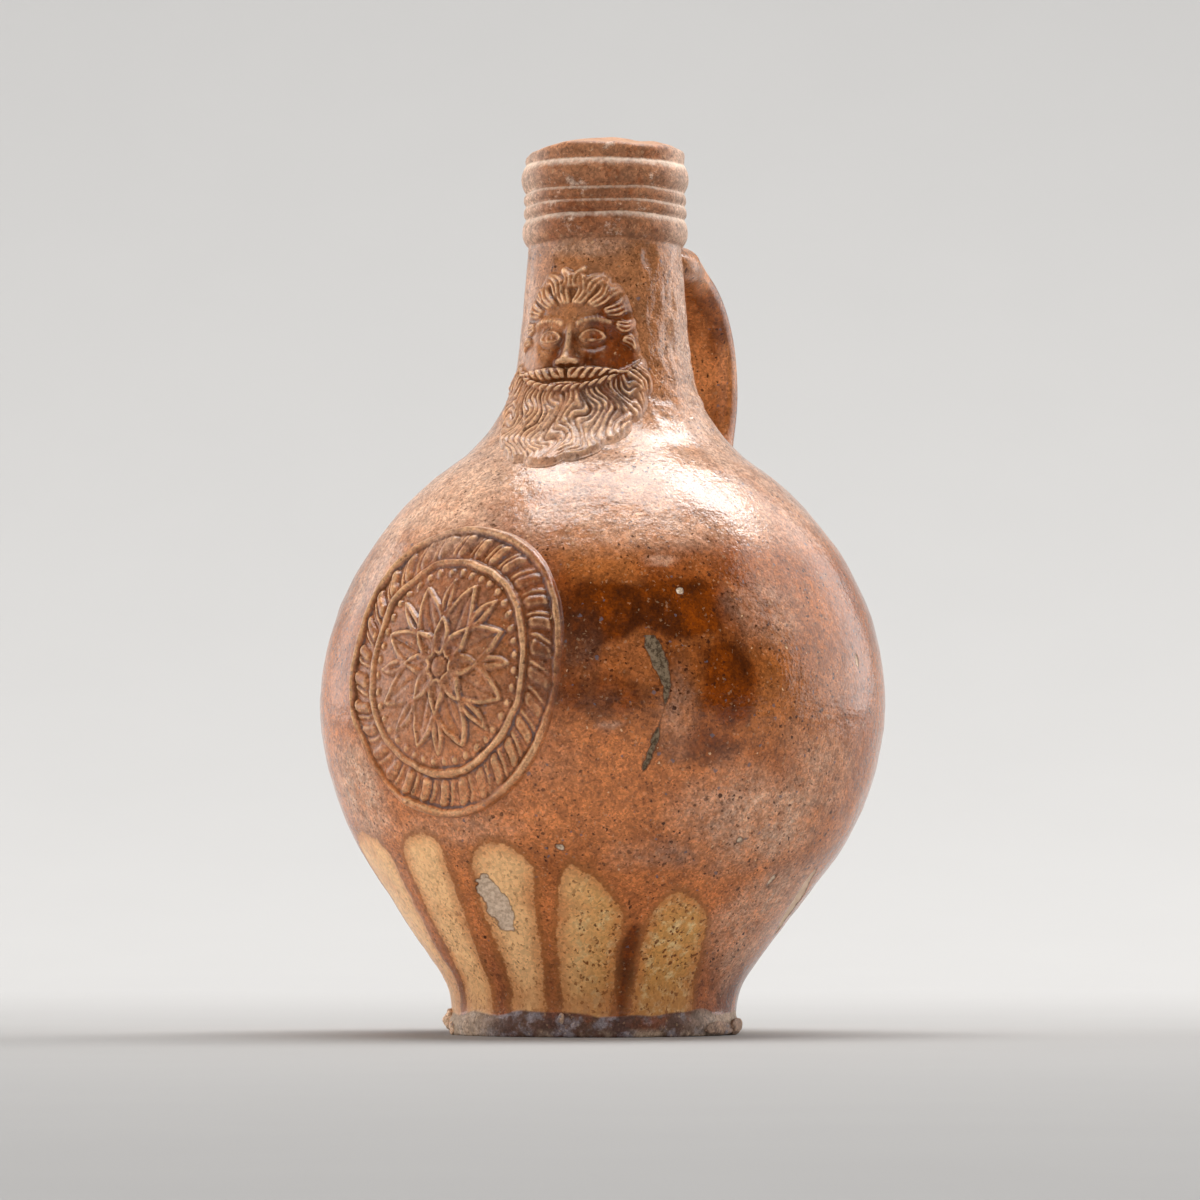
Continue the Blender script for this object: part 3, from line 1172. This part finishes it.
def bodyGlaze():
    m = Finish("bodyGlaze")
    col, z, drift, fine = wash(m)
    col, dust = washMarks(m, z, col, drift, fine)
    col = flecks(m, grainy(m, col))
    col, bare = bareClay(m, z, col, drift, fine)
    col, dry = dryCollar(m, z, col, fine)
    col, foot = footBand(m, z, col, drift)
    col, scar = brokenGlaze(m, col, fine)
    rough = m.ramp(drift, 0.25, 0.75, *sheen["glaze"])
    rough = m.blend(m.most(bare, dust), rough, sheen["bare"])
    rough = m.blend(dry, rough, sheen["collar"])
    rough = m.blend(m.most(m.times(foot, 0.8), scar), rough, sheen["broken"])
    pocked = m.times(m.noise(2.2, 3, 0.65, seed=23.0), m.field("pocks"))
    return m.shade(Base_Color=col, Roughness=rough, IOR=glassy, Normal=m.bump(pocked, 0.7, m.saltSkin()))


def sprigGlaze(name, hollow, high, crestTone, pooled):
    m = Finish(name)
    col, z, drift, fine = wash(m)
    col = washMarks(m, z, col, drift, fine)[0]
    crest = m.uneven(m.field("crest"), fine, 0.25)
    col = m.tint(col, "sprigHollow", crest, -0.02, -hollow, 0.85)
    pool = m.times(m.ramp(crest, 0.0, -hollow), m.ramp(drift, 0.48, 0.60, 0.0, pooled))
    col = m.mix(pool, col, "slate")
    col = m.tint(col, crestTone, crest, 0.02, high, 0.85)
    col = flecks(m, grainy(m, col, 0.8), 0.7)
    rough = m.ramp(crest, -0.3, 0.4, *sheen["sprig"])
    return m.shade(Base_Color=col, Roughness=rough, IOR=glassy, Normal=m.saltSkin(0.08))


def handleGlaze():
    m = Finish("handleGlaze")
    drift = m.noise(12, 4, 0.6, m.moved((1, 1, 0.35)), 2.0)
    col = m.mix(m.ramp(drift, 0.38, 0.66), "strapDark", "strapLight")
    col = m.tint(col, "shoulder", m.field("joint"), 9.0, 1.0)
    col = flecks(m, grainy(m, col))
    rough = m.ramp(drift, 0.25, 0.75, *sheen["strap"])
    return m.shade(Base_Color=col, Roughness=rough, IOR=glassy, Normal=m.saltSkin())


def crumbClay():
    m = Finish("crumbClay")
    lump = m.noise(2.4, 4, 0.65, seed=9.0)
    paleSide = m.ramp(m.vector("DOT_PRODUCT", m.place, tuple(darkSide)), 0.0, -0.02, 0.35, 1.0)
    col = m.mix(m.times(m.ramp(lump, 0.30, 0.52), paleSide), "crumbDark", "crumbPale")
    col = m.tint(col, "footGrey", m.noise(3.5, 3, 0.6, seed=12.0), 0.54, 0.66)
    gritty = m.bump(m.noise(0.9, 4, 0.7), 0.3)
    return m.shade(Base_Color=grainy(m, col), Roughness=sheen["crumb"], Normal=gritty)


for piece, material in (
    (body, bodyGlaze()),
    (mask, sprigGlaze("maskGlaze", 0.45, 0.35, "beardCrest", 0.0)),
    (medal, sprigGlaze("medallionGlaze", 0.35, 0.30, "medalCrest", 0.5)),
    (handle, handleGlaze()),
    (footCrumbs, crumbClay()),
):
    piece.data.materials.append(material)
print("finishes mixed")


# pale studio

studio = dict(
    sweepBehind=0.7, sweepRound=1.1, sweepTop=2.6, sweepFront=2.4, sweepHalf=3.0,
    paper=(150, 148, 146), paperPale=(154, 152, 150), glowTone=(250, 249, 247),
    glow=0.36, glowFrom=-0.15, glowFull=1.0, world=0.06, aim=0.11,
)
lamps = [  # name, degrees round from the camera to the right, degrees up, distance, width, height, watts
    ("topPanel", 180, 83, 1.25, 1.00, 0.85, 21.0),
    ("rightPanel", 112, 23, 1.40, 1.50, 1.50, 15.0),
    ("rightHighPanel", 120, 57, 1.40, 0.45, 0.45, 7.5),
    ("leftPanel", -112, 14, 1.40, 1.60, 0.80, 6.0),
    ("leftFill", -95, 8, 1.40, 1.40, 0.60, 12.0),
    ("frontFill", 5, 8, 1.50, 1.60, 1.40, 17.0),
]


def paleSweep():
    turn = radians(viewer["around"])
    forward = np.array([-sin(turn), cos(turn), 0])
    right = np.array([cos(turn), sin(turn), 0])
    behind, bend = studio["sweepBehind"], studio["sweepRound"]
    line = [(-studio["sweepFront"], 0.0), (behind, 0.0)]
    line += [(behind + bend * sin(q), bend * (1 - cos(q))) for q in np.linspace(0, pi / 2, 33)[1:]]
    line.append((behind + bend, studio["sweepTop"]))
    points = [forward * d + right * side * studio["sweepHalf"] + np.array([0, 0, h])
              for d, h in line for side in (-1, 1)]
    faces = [(2 * i, 2 * i + 1, 2 * i + 3, 2 * i + 2) for i in range(len(line) - 1)]
    mesh = bpy.data.meshes.new("paleSweep")
    mesh.from_pydata([tuple(p) for p in points], [], faces)
    mesh.shade_smooth()
    sweep = bpy.data.objects.new("paleSweep", mesh)
    scene.collection.objects.link(sweep)
    m = Finish("palePaper")
    path = m.node("LightPath").outputs
    seen = m.most(m.most(path["Is Camera Ray"], path["Is Glossy Ray"]), path["Is Transmission Ray"])
    depth = m.vector("DOT_PRODUCT", m.place, tuple(forward))
    glow = m.ramp(depth, studio["glowFrom"], studio["glowFull"], 0.0, studio["glow"])
    sweep.data.materials.append(m.shade(
        Base_Color=m.mix(m.noise(60, 3, 0.5), colour(*studio["paper"]), colour(*studio["paperPale"])),
        Roughness=sheen["paper"],
        Emission_Color=colour(*studio["glowTone"]),
        Emission_Strength=m.times(seen, glow),
    ))


def hangLamps():
    for name, turn, up, away, width, tall, watts in lamps:
        lamp = bpy.data.lights.new(name, "AREA")
        lamp.shape = "RECTANGLE"
        lamp.size, lamp.size_y = width, tall
        lamp.energy = watts
        holder = bpy.data.objects.new(name, lamp)
        a, b = radians(viewer["around"] + turn), radians(up)
        aim = Vector((0, 0, studio["aim"]))
        holder.location = aim + away * Vector((cos(b) * sin(a), -cos(b) * cos(a), sin(b)))
        holder.rotation_euler = (aim - holder.location).to_track_quat("-Z", "Y").to_euler()
        holder.visible_camera = False
        holder.visible_glossy = not name.endswith("Fill")  # the fills leave no sheen on the glaze
        scene.collection.objects.link(holder)
    world = bpy.data.worlds.new("studioAir")
    scene.world = world
    world.use_nodes = True
    air = world.node_tree.nodes["Background"].inputs
    air["Color"].default_value = (1, 1, 1, 1)
    air["Strength"].default_value = studio["world"]


paleSweep()
hangLamps()
print("studio lit")
